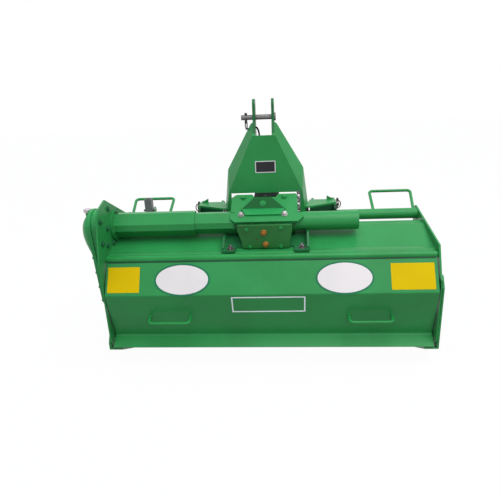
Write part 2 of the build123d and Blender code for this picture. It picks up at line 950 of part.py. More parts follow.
stock_planes = [
    Plane(origin=(gear_x, stock_rear_y, stock_shoulder_z), z_dir=(0, -1, 0)),
    Plane(
        origin=(gear_x, stock_rear_y, stock_shoulder_z),
        z_dir=(0, stock_shoulder_z - stock_peak_z, stock_peak_y - stock_rear_y),
    ),
]
for hand in (-1, 1):
    shoulder = (gear_x + hand * stock_top_half, stock_rear_y, stock_shoulder_z)
    peak = (gear_x + hand * stock_top_half, stock_peak_y, stock_peak_z)
    panel = (gear_x + hand * stock_panel_half, stock_rear_y, panel_low_z)
    waist = (gear_x + hand * stock_waist_half, stock_front_y, stock_waist_z)
    foot = (gear_x + hand * stock_foot_half, stock_front_y, stock_foot_z)
    stock_planes.append(plane_through(shoulder, panel, peak, hand))
    stock_planes.append(plane_through(panel, foot, waist, hand))


def stock_block(inset):
    """Solid with the headstock's outer faces, all drawn in by one distance."""
    with BuildPart() as block:
        with BuildSketch(level(stock_foot_z - 60)):
            with Locations((gear_x, stock_front_y)):
                Rectangle(3 * stock_foot_half, 3 * (stock_front_y - stock_rear_y))
        extrude(amount=2 * (stock_peak_z - stock_foot_z))
        for plane in stock_planes:
            split(bisect_by=plane.offset(-inset), keep=Keep.BOTTOM)
    return block.part


with BuildPart() as headstock:
    add(stock_block(0))
    add(stock_block(stock_sheet), mode=Mode.SUBTRACT)
    with BuildSketch(across(gear_x - 2 * stock_foot_half)):
        with BuildLine():
            Polyline(
                (stock_rear_y - 20, stock_foot_z),
                (stock_rear_y - 20, stock_peak_z + 20),
                (stock_peak_y - 14, stock_peak_z + 20),
                (stock_peak_y, stock_peak_z),
                (stock_peak_y + stock_sheet, stock_peak_z - stock_sheet),
                (stock_front_y, stock_waist_z),
                (stock_front_y, stock_foot_z),
                close=True,
            )
        make_face()
        with Locations((front_tube_y, front_tube_z)):
            Circle(front_tube_r, mode=Mode.SUBTRACT)
    extrude(amount=4 * stock_foot_half, mode=Mode.INTERSECT)
    with BuildSketch(behind(stock_rear_y + 2 * stock_sheet)):
        with Locations((gear_x, (panel_low_z + stock_foot_z - overcut) / 2)):
            Rectangle(2 * window_half, panel_low_z - stock_foot_z + overcut)
    extrude(amount=4 * stock_sheet, mode=Mode.SUBTRACT)
    with BuildSketch(level(stock_shoulder_z)):
        with Locations((gear_x, stock_front_y)):
            Rectangle(2 * (lug_half - lug_t), 3 * (stock_front_y - stock_rear_y))
    extrude(amount=2 * (stock_peak_z - stock_shoulder_z), mode=Mode.SUBTRACT)
save(headstock, "headstock_shell")

# Top link lugs inside the shell, each with a hole for the pin and a higher spare one
lug_low_z = 730.0
lug_top_z = 930.0
lug_rear_y = 86.0
lug_front_y = 140.0
lug_hole_y = 113.0
top_pin_z = 863.0
spare_top_z = 901.0
top_pin_r = 9.5

for side, hand in (("left", -1), ("right", 1)):
    with BuildPart() as lug:
        with BuildSketch(across(gear_x + hand * lug_half)):
            with BuildLine():
                Polyline(
                    (stock_rear_y, lug_low_z),
                    (stock_rear_y, stock_shoulder_z),
                    (lug_rear_y, stock_peak_z + 6),
                    (lug_rear_y, lug_top_z),
                    (lug_front_y, lug_top_z),
                    (lug_front_y, stock_shoulder_z),
                    (lug_hole_y, lug_low_z),
                    close=True,
                )
            lug_face = make_face()
            fillet(lug_face.vertices().group_by(Axis.Z)[-1], 24)
            with Locations((lug_hole_y, top_pin_z), (lug_hole_y, spare_top_z)):
                Circle(top_pin_r + seat_gap, mode=Mode.SUBTRACT)
        extrude(amount=-hand * lug_t)
        add(headstock.part, mode=Mode.SUBTRACT)
        split(bisect_by=stock_planes[0].offset(-stock_sheet), keep=Keep.BOTTOM)
    save(lug, f"headstock_lug_{side}")

# Pins of the three hitch points, each kept by a linchpin with a ring round it
pin_head_r = 15.0
pin_head = 6.0
linch_r = 3.5
ring_r = 19.0
ring_bar = 2.0


def hitch_pin(y, z, radius, head_x, end_x, linch_x):
    """Pin along X with a head outside its first ear and a cross hole near its end."""
    out = 1 if end_x > head_x else -1
    with BuildPart() as pin:
        with BuildSketch(across(head_x)):
            with Locations((y, z)):
                Circle(radius)
        extrude(amount=end_x - head_x)
        with BuildSketch(across(head_x)):
            with Locations((y, z)):
                Circle(max(pin_head_r, radius + 5))
        extrude(amount=-out * pin_head)
        with BuildSketch(level(z - 2 * radius)):
            with Locations((linch_x, y)):
                Circle(linch_r)
        extrude(amount=4 * radius, mode=Mode.SUBTRACT)
    return pin


def linchpin(x, y, z):
    """Upright pin through a hitch pin, with its spring ring round that pin."""
    with BuildPart() as clip:
        with BuildSketch(level(z - ring_r - 4)):
            with Locations((x, y)):
                Circle(linch_r)
        extrude(amount=2 * ring_r + 10)
        with BuildSketch(across(x - ring_bar)):
            with Locations((y, z)):
                Circle(ring_r + ring_bar)
                Circle(ring_r - ring_bar, mode=Mode.SUBTRACT)
        extrude(amount=2 * ring_bar)
    return clip


top_pin_linch_x = gear_x - lug_half - 27.0
top_pin = hitch_pin(
    lug_hole_y,
    top_pin_z,
    top_pin_r,
    gear_x + lug_half,
    gear_x - lug_half - 45.0,
    top_pin_linch_x,
)
save(top_pin, "top_link_pin")
save(linchpin(top_pin_linch_x, lug_hole_y, top_pin_z), "top_link_linchpin")

# Lower hitch brackets on the front tube: two ears under one plate
ear_t = 10.0
inner_ear = 196.0      # outer face of the inner ear from the middle
outer_ear = 281.0
ear_rear_y = 100.0
ear_front_y = 243.0
ear_top_z = 514.0
ear_low_z = 414.0
lower_pin_y = 213.0
lower_pin_z = 490.0
spare_low_z = 442.0
lower_pin_r = 11.0
ear_plate_t = 6.0
ear_plate_front_y = 173.0
ear_plate_inner = 140.0
ear_web_t = 5.0
tab_inner = 246.0      # upright tab on the plate, sloping off outwards
tab_outer = 276.0
tab_height = 16.0
tab_t = 6.0
lower_linch = outer_ear + 10.0
lower_pin_end = outer_ear + 20.0

for side, hand in (("left", -1), ("right", 1)):
    with BuildPart() as bracket:
        for ear in (inner_ear, outer_ear):
            with BuildSketch(across(gear_x + hand * ear)):
                with BuildLine():
                    Polyline(
                        (ear_rear_y, front_tube_z - 14),
                        (ear_rear_y, ear_top_z),
                        (ear_front_y, ear_top_z),
                        (ear_front_y, ear_low_z),
                        (lower_pin_y - 30, ear_low_z),
                        (front_tube_y + 20, front_tube_z - 34),
                        (front_tube_y - 16, front_tube_z - 34),
                        close=True,
                    )
                ear_face = make_face()
                fillet(ear_face.vertices().group_by(Axis.Y)[-1], 24)
                with Locations((front_tube_y, front_tube_z)):
                    Circle(front_tube_r, mode=Mode.SUBTRACT)
                with Locations((lower_pin_y, lower_pin_z), (lower_pin_y, spare_low_z)):
                    Circle(lower_pin_r + seat_gap, mode=Mode.SUBTRACT)
            extrude(amount=-hand * ear_t)
        with BuildSketch(level(ear_top_z)):
            with BuildLine():
                Polyline(
                    (gear_x + hand * ear_plate_inner, stock_rear_y + 6),
                    (gear_x + hand * stock_foot_half, stock_rear_y + 6),
                    (gear_x + hand * outer_ear, front_tube_y - 4),
                    (gear_x + hand * outer_ear, ear_plate_front_y),
                    (gear_x + hand * ear_plate_inner, ear_plate_front_y),
                    close=True,
                )
            make_face()
        extrude(amount=ear_plate_t)
        with BuildSketch(level(ear_top_z)):
            with BuildLine():
                Polyline(
                    (gear_x + hand * stock_foot_half, stock_rear_y + 6),
                    (gear_x + hand * outer_ear, front_tube_y - 4),
                    (gear_x + hand * outer_ear, front_tube_y - 4 + ear_web_t),
                    (gear_x + hand * stock_foot_half, stock_rear_y + 6 + ear_web_t),
                    close=True,
                )
            make_face()
        extrude(amount=front_tube_z + front_tube_r + 1 - ear_top_z)
        with BuildSketch(behind(ear_plate_front_y)):
            with BuildLine():
                Polyline(
                    (gear_x + hand * tab_inner, ear_top_z),
                    (gear_x + hand * tab_inner, ear_top_z + ear_plate_t + tab_height),
                    (gear_x + hand * tab_outer, ear_top_z + ear_plate_t),
                    (gear_x + hand * tab_outer, ear_top_z),
                    close=True,
                )
            make_face()
        extrude(amount=tab_t)
        add(stock_block(0), mode=Mode.SUBTRACT)
    save(bracket, f"hitch_bracket_{side}")
    lower_pin = hitch_pin(
        lower_pin_y,
        lower_pin_z,
        lower_pin_r,
        gear_x + hand * (inner_ear - ear_t),
        gear_x + hand * lower_pin_end,
        gear_x + hand * lower_linch,
    )
    save(lower_pin, f"hitch_pin_{side}")
    lower_clip = linchpin(gear_x + hand * lower_linch, lower_pin_y, lower_pin_z)
    save(lower_clip, f"hitch_linchpin_{side}")

# Bent guard bars in front of the hood, standing on the front tube
guard_bar = 6.0
guard_width = 158.5
guard_outer = hood_width / 2 - 10.5
guard_inner = guard_outer - guard_width
guard_splay = 12.0     # the outer bar leans out by this much
guard_reach_y = 266.5
guard_bend = 14.0
guard_run = guard_reach_y - front_tube_y

for side, hand, guard_reach_z in (("left", -1, 518.0), ("right", 1, 525.0)):
    guard_lift = guard_reach_z - front_tube_z
    guard_length = math.hypot(guard_run, guard_lift)
    guard_plane = Plane(
        origin=(hood_x, front_tube_y, front_tube_z),
        x_dir=(1, 0, 0),
        z_dir=(0, -guard_lift, guard_run),
    )
    with BuildPart() as front_guard:
        with BuildLine(guard_plane) as guard_line:
            FilletPolyline(
                (hand * guard_inner, 10),
                (hand * guard_inner, guard_length),
                (hand * (guard_outer + guard_splay), guard_length),
                (hand * guard_outer, 10),
                radius=guard_bend,
            )
        with BuildSketch(Plane(origin=guard_line.line @ 0, z_dir=guard_line.line % 0)):
            Circle(guard_bar)
        sweep(path=guard_line.line)
        with BuildSketch(across(hood_left)):
            with Locations((front_tube_y, front_tube_z)):
                Circle(front_tube_r)
        extrude(amount=hood_width, mode=Mode.SUBTRACT)
    save(front_guard, f"front_guard_{side}")

# Parking stand: a square leg that slides in a sleeve on the front tube
stand_x = hood_left + 70.5
stand_y = 205.0
leg_side = 30.0
leg_wall = 3.0
leg_top_z = 533.0
leg_play = 0.5
sleeve_wall = 3.5
stand_sleeve_low = 412.0
stand_sleeve_high = 477.0
foot_t = 6.0
foot_width = 54.0
foot_rear_y = 187.0
foot_front_y = 240.0
stand_pin_r = 5.0
stand_pin_z = stand_sleeve_high + stand_pin_r + 1.0
stand_arm_z = 455.0
stand_arm_height = 30.0
sleeve_side = leg_side + 2 * (leg_play + sleeve_wall)

with BuildPart() as stand_sleeve:
    with BuildSketch(level(stand_sleeve_low)):
        with Locations((stand_x, stand_y)):
            Rectangle(sleeve_side, sleeve_side)
            Rectangle(leg_side + 2 * leg_play, leg_side + 2 * leg_play, mode=Mode.SUBTRACT)
    extrude(amount=stand_sleeve_high - stand_sleeve_low)
    with BuildSketch(across(stand_x - sleeve_side / 2)):
        with Locations(((front_tube_y + stand_y - sleeve_side / 2) / 2, stand_arm_z)):
            Rectangle(stand_y - sleeve_side / 2 - front_tube_y, stand_arm_height)
        with Locations((front_tube_y, front_tube_z)):
            Circle(front_tube_r, mode=Mode.SUBTRACT)
    extrude(amount=sleeve_side)
save(stand_sleeve, "stand_sleeve")

with BuildPart() as stand_leg:
    with BuildSketch(level(0)):
        with Locations((stand_x, (foot_rear_y + foot_front_y) / 2)):
            Rectangle(foot_width, foot_front_y - foot_rear_y)
    extrude(amount=foot_t)
    with BuildSketch(level(0)):
        with Locations((stand_x, stand_y)):
            Rectangle(leg_side, leg_side)
    extrude(amount=leg_top_z)
    with BuildSketch(level(foot_t)):
        with Locations((stand_x, stand_y)):
            Rectangle(leg_side - 2 * leg_wall, leg_side - 2 * leg_wall)
    extrude(amount=leg_top_z - foot_t, mode=Mode.SUBTRACT)
    with BuildSketch(across(stand_x - leg_side)):
        with Locations((stand_y, stand_pin_z)):
            Circle(stand_pin_r)
    extrude(amount=2 * leg_side, mode=Mode.SUBTRACT)
save(stand_leg, "stand_leg")

with BuildPart() as stand_pin:
    with BuildSketch(across(stand_x - sleeve_side / 2 - 6)):
        with Locations((stand_y, stand_pin_z)):
            Circle(stand_pin_r)
    extrude(amount=sleeve_side + 12)
save(stand_pin, "stand_pin")
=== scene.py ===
import math

import bmesh
import bpy
from mathutils import Matrix, Vector


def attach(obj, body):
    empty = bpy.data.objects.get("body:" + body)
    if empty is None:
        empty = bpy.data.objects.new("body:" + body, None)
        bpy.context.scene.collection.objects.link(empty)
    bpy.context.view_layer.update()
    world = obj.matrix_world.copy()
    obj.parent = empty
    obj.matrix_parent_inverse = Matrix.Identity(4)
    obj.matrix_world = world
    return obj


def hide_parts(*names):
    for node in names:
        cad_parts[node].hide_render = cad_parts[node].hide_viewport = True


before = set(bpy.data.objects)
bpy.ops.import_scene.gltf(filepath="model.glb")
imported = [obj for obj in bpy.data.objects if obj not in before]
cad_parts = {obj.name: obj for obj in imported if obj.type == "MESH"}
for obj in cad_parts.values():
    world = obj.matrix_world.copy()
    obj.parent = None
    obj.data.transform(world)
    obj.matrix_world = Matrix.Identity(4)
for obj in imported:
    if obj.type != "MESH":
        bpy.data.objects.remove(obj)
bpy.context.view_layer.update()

# The camera stands behind the tiller, a little right of its middle and above it,
# as a person holding it at eye height would. It leans slightly to one side.
yaw, pitch, lean = math.radians(4.875), math.radians(20.0), math.radians(2.749)
ahead = Vector((-math.sin(yaw) * math.cos(pitch), math.cos(yaw) * math.cos(pitch), -math.sin(pitch)))
level_right = Vector((math.cos(yaw), math.sin(yaw), 0.0))
level_up = level_right.cross(ahead)
right = math.cos(lean) * level_right - math.sin(lean) * level_up
up = right.cross(ahead)
camera_data = bpy.data.cameras.new("camera")
sensor_width, focal_pixels, picture_pixels = 36.0, 480.0, 500.0
camera_data.sensor_width = sensor_width
camera_data.lens = sensor_width * focal_pixels / picture_pixels
camera = bpy.data.objects.new("camera", camera_data)
bpy.context.scene.collection.objects.link(camera)
camera_at = (0.1329, -1.7789, 1.015)
camera.matrix_world = Matrix.Translation(camera_at) @ Matrix((right, up, -ahead)).transposed().to_4x4()
bpy.context.scene.camera = camera
bpy.context.scene.view_settings.view_transform = "Standard"

# Open sky lights the tops more than the sides. One broad lamp hangs high up on the right,
# a weak one stands behind the camera, and a pale floor lies under the skids, darkened under
# the machine by a painted shadow.
sky = bpy.data.worlds.new("sky")
bpy.context.scene.world = sky
sky.use_nodes = True
sky_nodes, sky_links = sky.node_tree.nodes, sky.node_tree.links
sky_nodes.clear()
sky_out = sky_nodes.new("ShaderNodeOutputWorld")
sky_seen = sky_nodes.new("ShaderNodeBackground")
sky_seen.inputs["Color"].default_value = (1.0, 1.0, 1.0, 1.0)
sky_light = sky_nodes.new("ShaderNodeBackground")
sky_light.inputs["Strength"].default_value = 1.35
sky_ramp = sky_nodes.new("ShaderNodeValToRGB")
sky_ramp.color_ramp.elements[0].position = 0.50
sky_ramp.color_ramp.elements[0].color = (0.20, 0.205, 0.21, 1.0)
sky_ramp.color_ramp.elements[1].position = 0.88
sky_ramp.color_ramp.elements[1].color = (0.94, 0.97, 1.22, 1.0)
sky_place = sky_nodes.new("ShaderNodeTexCoord")
sky_split = sky_nodes.new("ShaderNodeSeparateXYZ")
sky_height = sky_nodes.new("ShaderNodeMapRange")
sky_height.inputs["From Min"].default_value = -1.0
sky_links.new(sky_place.outputs["Generated"], sky_split.inputs[0])
sky_links.new(sky_split.outputs["Z"], sky_height.inputs["Value"])
sky_links.new(sky_height.outputs["Result"], sky_ramp.inputs["Fac"])
sky_links.new(sky_ramp.outputs["Color"], sky_light.inputs["Color"])
sky_path = sky_nodes.new("ShaderNodeLightPath")
sky_direct = sky_nodes.new("ShaderNodeMath")
sky_direct.operation = "MAXIMUM"
sky_mirrored = sky_nodes.new("ShaderNodeMath")
sky_mirrored.operation = "MAXIMUM"
sky_mix = sky_nodes.new("ShaderNodeMixShader")
sky_links.new(sky_path.outputs["Is Camera Ray"], sky_direct.inputs[0])
sky_links.new(sky_path.outputs["Is Glossy Ray"], sky_direct.inputs[1])
sky_links.new(sky_direct.outputs[0], sky_mirrored.inputs[0])
sky_links.new(sky_path.outputs["Is Transmission Ray"], sky_mirrored.inputs[1])
sky_links.new(sky_mirrored.outputs[0], sky_mix.inputs["Fac"])
sky_links.new(sky_light.outputs[0], sky_mix.inputs[1])
sky_links.new(sky_seen.outputs[0], sky_mix.inputs[2])
sky_links.new(sky_mix.outputs[0], sky_out.inputs["Surface"])

for lamp_name, lamp_at, lamp_size, lamp_power in (
    ("lamp_overhead", (1.0, -1.0, 2.9), 2.4, 52.0),
    ("lamp_behind_camera", (0.9, -2.9, 2.2), 2.2, 5.0),
):
    lamp_data = bpy.data.lights.new(lamp_name, "AREA")
    lamp_data.size = lamp_size
    lamp_data.energy = lamp_power
    lamp = bpy.data.objects.new(lamp_name, lamp_data)
    bpy.context.scene.collection.objects.link(lamp)
    lamp.location = lamp_at
    lamp.rotation_euler = (Vector((0.0, 0.0, 0.35)) - lamp.location).to_track_quat("-Z", "Y").to_euler()

floor_mesh = bpy.data.meshes.new("floor")
bm = bmesh.new()
bmesh.ops.create_grid(bm, x_segments=1, y_segments=1, size=9.0)
bm.to_mesh(floor_mesh)
bm.free()
floor = bpy.data.objects.new("floor", floor_mesh)
bpy.context.scene.collection.objects.link(floor)
floor_paint = bpy.data.materials.new("pale_floor")
floor_paint.use_nodes = True
floor_nodes, floor_links = floor_paint.node_tree.nodes, floor_paint.node_tree.links
floor_base = floor_nodes["Principled BSDF"]
floor_base.inputs["Base Color"].default_value = (0.28, 0.30, 0.26, 1.0)
floor_base.inputs["Roughness"].default_value = 0.9
floor_glow = floor_nodes.new("ShaderNodeEmission")
floor_glow.inputs["Color"].default_value = (1.0, 1.0, 1.0, 1.0)
floor_glow.inputs["Strength"].default_value = 1.04
floor_path = floor_nodes.new("ShaderNodeLightPath")
floor_seen = floor_nodes.new("ShaderNodeMath")
floor_seen.operation = "MAXIMUM"
floor_share = floor_nodes.new("ShaderNodeMath")
floor_share.operation = "MULTIPLY"
floor_share.inputs[1].default_value = 0.93
floor_mix = floor_nodes.new("ShaderNodeMixShader")
floor_links.new(floor_path.outputs["Is Camera Ray"], floor_seen.inputs[0])
floor_links.new(floor_path.outputs["Is Glossy Ray"], floor_seen.inputs[1])
floor_links.new(floor_seen.outputs[0], floor_share.inputs[0])
floor_place = floor_nodes.new("ShaderNodeTexCoord")
floor_split = floor_nodes.new("ShaderNodeSeparateXYZ")
floor_links.new(floor_place.outputs["Object"], floor_split.inputs[0])
# Painted shadow: inside a soft-edged rectangle under the machine the floor drops its white glow and shows the
# darker diffuse floor.
outside_painted_shadow = floor_nodes.new("ShaderNodeMath")
outside_painted_shadow.operation = "MAXIMUM"
machine_mid, shade_soft = 0.0575, 0.03
for axis, middle, half in (("X", machine_mid, 0.56), ("Y", 0.05, 0.14)):
    floor_from = floor_nodes.new("ShaderNodeMath")
    floor_from.operation = "SUBTRACT"
    floor_from.inputs[1].default_value = middle
    floor_span = floor_nodes.new("ShaderNodeMath")
    floor_span.operation = "ABSOLUTE"
    painted_shadow_edge = floor_nodes.new("ShaderNodeMapRange")
    painted_shadow_edge.inputs["From Min"].default_value = half - shade_soft
    painted_shadow_edge.inputs["From Max"].default_value = half + shade_soft
    floor_links.new(floor_split.outputs[axis], floor_from.inputs[0])
    floor_links.new(floor_from.outputs[0], floor_span.inputs[0])
    floor_links.new(floor_span.outputs[0], painted_shadow_edge.inputs["Value"])
    floor_links.new(painted_shadow_edge.outputs["Result"], outside_painted_shadow.inputs[0 if axis == "X" else 1])
glow_outside_painted_shadow = floor_nodes.new("ShaderNodeMath")
glow_outside_painted_shadow.operation = "MULTIPLY"
floor_links.new(floor_share.outputs[0], glow_outside_painted_shadow.inputs[0])
floor_links.new(outside_painted_shadow.outputs[0], glow_outside_painted_shadow.inputs[1])
floor_links.new(glow_outside_painted_shadow.outputs[0], floor_mix.inputs["Fac"])
floor_links.new(floor_base.outputs[0], floor_mix.inputs[1])
floor_links.new(floor_glow.outputs[0], floor_mix.inputs[2])
floor_links.new(floor_mix.outputs[0], floor_nodes["Material Output"].inputs["Surface"])
floor_mesh.materials.append(floor_paint)


# Rotor: a steel tube with six flanges, and on each flange four forged hoes held by two
# bolts apiece. It is dipped in black paint, which soil wears off the hoes first.
def coat(name, colour, second, gloss, grain, peel, metal=0.0):
    """A finish with soft drifts of tone, fine grain and a slightly uneven gloss."""
    finish = bpy.data.materials.new(name)
    finish.use_nodes = True
    nodes, links = finish.node_tree.nodes, finish.node_tree.links
    shader = nodes["Principled BSDF"]
    shader.inputs["Metallic"].default_value = metal
    shader.inputs["Specular IOR Level"].default_value = 0.22
    place = nodes.new("ShaderNodeTexCoord")
    drift = nodes.new("ShaderNodeTexNoise")
    drift.inputs["Scale"].default_value = 5.0
    drift.inputs["Detail"].default_value = 5.0
    links.new(place.outputs["Object"], drift.inputs["Vector"])
    fine = nodes.new("ShaderNodeTexNoise")
    fine.inputs["Scale"].default_value = grain
    fine.inputs["Detail"].default_value = 3.0
    links.new(place.outputs["Object"], fine.inputs["Vector"])
    tone = nodes.new("ShaderNodeValToRGB")
    tone.color_ramp.elements[0].position = 0.38
    tone.color_ramp.elements[0].color = (*second, 1.0)
    tone.color_ramp.elements[1].position = 0.60
    tone.color_ramp.elements[1].color = (*colour, 1.0)
    links.new(drift.outputs["Fac"], tone.inputs["Fac"])
    links.new(tone.outputs["Color"], shader.inputs["Base Color"])
    rough = nodes.new("ShaderNodeMapRange")
    rough.inputs["To Min"].default_value = gloss - 0.07
    rough.inputs["To Max"].default_value = gloss + 0.10
    links.new(fine.outputs["Fac"], rough.inputs["Value"])
    links.new(rough.outputs["Result"], shader.inputs["Roughness"])
    relief = nodes.new("ShaderNodeBump")
    relief.inputs["Strength"].default_value = peel
    relief.inputs["Distance"].default_value = 0.0006
    links.new(fine.outputs["Fac"], relief.inputs["Height"])
    links.new(relief.outputs["Normal"], shader.inputs["Normal"])
    return finish


def worn(finish, bare, share, size):
    """Rubs a finish through to another colour in small ragged patches."""
    nodes, links = finish.node_tree.nodes, finish.node_tree.links
    shader = nodes["Principled BSDF"]
    below = shader.inputs["Base Color"].links[0].from_socket
    place = nodes.new("ShaderNodeTexCoord")
    patch = nodes.new("ShaderNodeTexNoise")
    patch.inputs["Scale"].default_value = size
    patch.inputs["Detail"].default_value = 8.0
    patch.inputs["Roughness"].default_value = 0.72
    links.new(place.outputs["Object"], patch.inputs["Vector"])
    edge = nodes.new("ShaderNodeMapRange")
    edge.inputs["From Min"].default_value = 0.72 - share
    edge.inputs["From Max"].default_value = 0.75 - share
    links.new(patch.outputs["Fac"], edge.inputs["Value"])
    mix = nodes.new("ShaderNodeMix")
    mix.data_type = "RGBA"
    mix.inputs["B"].default_value = (*bare, 1.0)
    links.new(edge.outputs["Result"], mix.inputs["Factor"])
    links.new(below, mix.inputs["A"])
    links.new(mix.outputs["Result"], shader.inputs["Base Color"])
    return finish


def lower_down(finish, colour, start, end):
    """Changes a finish to another colour below a height, softly from start down to end."""
    nodes, links = finish.node_tree.nodes, finish.node_tree.links
    shader = nodes["Principled BSDF"]
    above = shader.inputs["Base Color"].links[0].from_socket
    place = nodes.new("ShaderNodeTexCoord")
    split = nodes.new("ShaderNodeSeparateXYZ")
    fade = nodes.new("ShaderNodeMapRange")
    fade.inputs["From Min"].default_value = start
    fade.inputs["From Max"].default_value = end
    mix = nodes.new("ShaderNodeMix")
    mix.data_type = "RGBA"
    mix.inputs["B"].default_value = (*colour, 1.0)
    links.new(place.outputs["Object"], split.inputs[0])
    links.new(split.outputs["Z"], fade.inputs["Value"])
    links.new(fade.outputs["Result"], mix.inputs["Factor"])
    links.new(above, mix.inputs["A"])
    links.new(mix.outputs["Result"], shader.inputs["Base Color"])
    return finish


def dress(finish, *nodes):
    """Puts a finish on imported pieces."""
    for node in nodes:
        for material_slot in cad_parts[node].material_slots:
            material_slot.material = finish


def finished(name, bm, finish, body, smooth=True):
    """Turns a bmesh into a piece that moves with its body."""
    mesh = bpy.data.meshes.new(name)
    bm.to_mesh(mesh)
    bm.free()
    for face in mesh.polygons:
        face.use_smooth = smooth
    piece = bpy.data.objects.new(name, mesh)
    bpy.context.scene.collection.objects.link(piece)
    mesh.materials.append(finish)
    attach(piece, body)
    return piece


def facing(at, way):
    """Place of a small part whose own Z points along a direction."""
    return Matrix.Translation(at) @ Vector(way).to_track_quat("Z", "Y").to_matrix().to_4x4()


def hex_bolt(bm, at, way, size, washer=1.25):
    """Bolt head on a washer, with the bevelled top that a cold-forged head has."""
    place = facing(at, way)
    washer_thick, height = size * 0.22, size * 0.75
    bmesh.ops.create_cone(
        bm, cap_ends=True, segments=20, radius1=size * washer, radius2=size * washer,
        depth=washer_thick, matrix=place @ Matrix.Translation((0, 0, washer_thick / 2)))
    head = bmesh.ops.create_cone(
        bm, cap_ends=True, segments=6, radius1=size, radius2=size,
        depth=height, matrix=place @ Matrix.Translation((0, 0, washer_thick + height / 2)))
    outward = place.to_3x3() @ Vector((0, 0, 1))
    near_top = Vector(at).dot(outward) + size * 0.2 + height * 0.9
    top = [f for v in head["verts"] for f in v.link_faces if f.calc_center_median().dot(outward) > near_top]
    rim = list({e for f in top for e in f.edges})
    bmesh.ops.bevel(bm, geom=rim, offset=size * 0.16, segments=2, profile=0.5, affect="EDGES", material=-1)


hoe_steel = worn(
    coat("worn_black_steel", (0.035, 0.035, 0.037), (0.020, 0.020, 0.021), 0.42, 240.0, 0.25, metal=0.3),
    (0.17, 0.14, 0.12), 0.12, 26.0)
rotor_black = coat("rotor_black", (0.030, 0.031, 0.032), (0.018, 0.018, 0.019), 0.36, 260.0, 0.2)
bolt_steel = coat("zinc_plated", (0.62, 0.62, 0.60), (0.48, 0.48, 0.47), 0.30, 420.0, 0.12, metal=1.0)
dress(rotor_black, "rotor_tube")
dress(hoe_steel, "rotor_hoes_left_hand", "rotor_hoes_right_hand")

rotor_at = Vector((machine_mid, -0.015, 0.207))
first_flange, flange_pitch, flange_stagger = machine_mid - 0.5, 0.2, 11.0
hoe_outside, flange_outside, hoe_bolt = 0.011, 0.004, 0.0075
bm = bmesh.new()
for number in range(6):
    flange_x = first_flange + flange_pitch * number
    for k in range(4):
        side = -1.0 if k % 2 == 0 else 1.0
        turn = math.radians(flange_stagger * number + 90.0 * k)
        for reach in (0.052, 0.069):
            out = Vector((0.0, -math.sin(turn), math.cos(turn)))
            spot = Vector((flange_x, rotor_at.y, rotor_at.z)) + out * reach
            hex_bolt(bm, spot + Vector((side * hoe_outside, 0, 0)), (side, 0, 0), hoe_bolt)
            hex_bolt(bm, spot - Vector((side * flange_outside, 0, 0)), (-side, 0, 0), hoe_bolt)
finished("hoe_bolts", bm, bolt_steel, "rotor", smooth=False)

# Side plates, hood and tailboard are cut and folded steel, sprayed with one glossy
# green. Small darker patches show where it has rubbed.
paint_green = (0.022, 0.240, 0.056)
paint_shade = (0.019, 0.208, 0.047)
sheet_green = worn(
    coat("green_enamel", paint_green, paint_shade, 0.30, 300.0, 0.10),
    (0.012, 0.125, 0.045), 0.02, 60.0)
dress(sheet_green, "hood_sheet", "side_plate_left", "side_plate_right", "skid_left", "skid_right",
      "tailboard_sheet", "tailboard_pivot_left", "tailboard_pivot_right", "front_cross_tube")
bar_green = coat("bar_enamel", (0.017, 0.240, 0.050), (0.014, 0.205, 0.040), 0.20, 300.0, 0.06)
dress(bar_green, "tailboard_hinge_tube", "tailboard_handles")


def weld(bm, points, size):
    """Lays overlapping drops of weld along a path, as a hand-held torch leaves them."""
    for start, end in zip(points, points[1:]):
        start, end = Vector(start), Vector(end)
        drops = max(2, round((end - start).length / (size * 1.1)))
        for drop in range(drops):
            bmesh.ops.create_icosphere(
                bm, subdivisions=1, radius=size,
                matrix=Matrix.Translation(start.lerp(end, drop / drops)))


def ring_points(at, way, radius, count=24):
    """Points of a closed circle round an axis."""
    place = facing(at, way)
    turns = [2 * math.pi * i / count for i in range(count + 1)]
    return [place @ Vector((radius * math.cos(t), radius * math.sin(t), 0.0)) for t in turns]


left_outside, left_inside, right_inside = -0.5475, -0.5355, 0.6505
tube_y, tube_z, tube_radius = 0.128, 0.464, 0.0225
bm = bmesh.new()
for plate_x, inward in ((left_inside, 1), (right_inside, -1)):
    weld_x = plate_x + inward * 0.001
    weld(bm, ring_points((weld_x, tube_y, tube_z), (1, 0, 0), tube_radius, 32), 0.0026)
    seam = [(weld_x, y, z) for y, z in (
        (-0.150, 0.414), (-0.126, 0.414), (0.018, 0.456), (0.061, 0.456), (0.112, 0.416), (0.146, 0.348))]
    weld(bm, seam, 0.0022)
finished("frame_welds", bm, sheet_green, "chassis")

# Bolts hold the skids to the side plates, so that they can be changed once they are
# worn. Their nuts sit inside the plates, out of the way of the soil outside.
skid_steel = coat("dull_bolt_green", (0.022, 0.160, 0.055), (0.012, 0.085, 0.030), 0.45, 300.0, 0.2)
skid_row, skid_bolt = ((-0.195, 0.101), (-0.015, 0.101), (0.130, 0.101)), 0.0095
hub_face, hub_reach, hub_bolt = 0.6425, 0.048, 0.0075
bm = bmesh.new()
for y, z in skid_row:
    hex_bolt(bm, (left_inside, y, z), (1, 0, 0), skid_bolt)
    hex_bolt(bm, (left_outside, y, z), (-1, 0, 0), skid_bolt)
for y, z in (*skid_row, (-0.195, 0.300), (0.150, 0.300)):
    hex_bolt(bm, (right_inside, y, z), (-1, 0, 0), skid_bolt)
for k in range(4):
    turn = math.radians(45 + 90 * k)
    y, z = rotor_at.y + hub_reach * math.cos(turn), rotor_at.z + hub_reach * math.sin(turn)
    hex_bolt(bm, (hub_face, y, z), (-1, 0, 0), hub_bolt)
finished("side_plate_bolts", bm, skid_steel, "chassis", smooth=False)
hub_green = coat("cast_green", (0.019, 0.185, 0.048), (0.013, 0.125, 0.032), 0.40, 160.0, 0.5)
dress(hub_green, "rotor_bearing_hub")

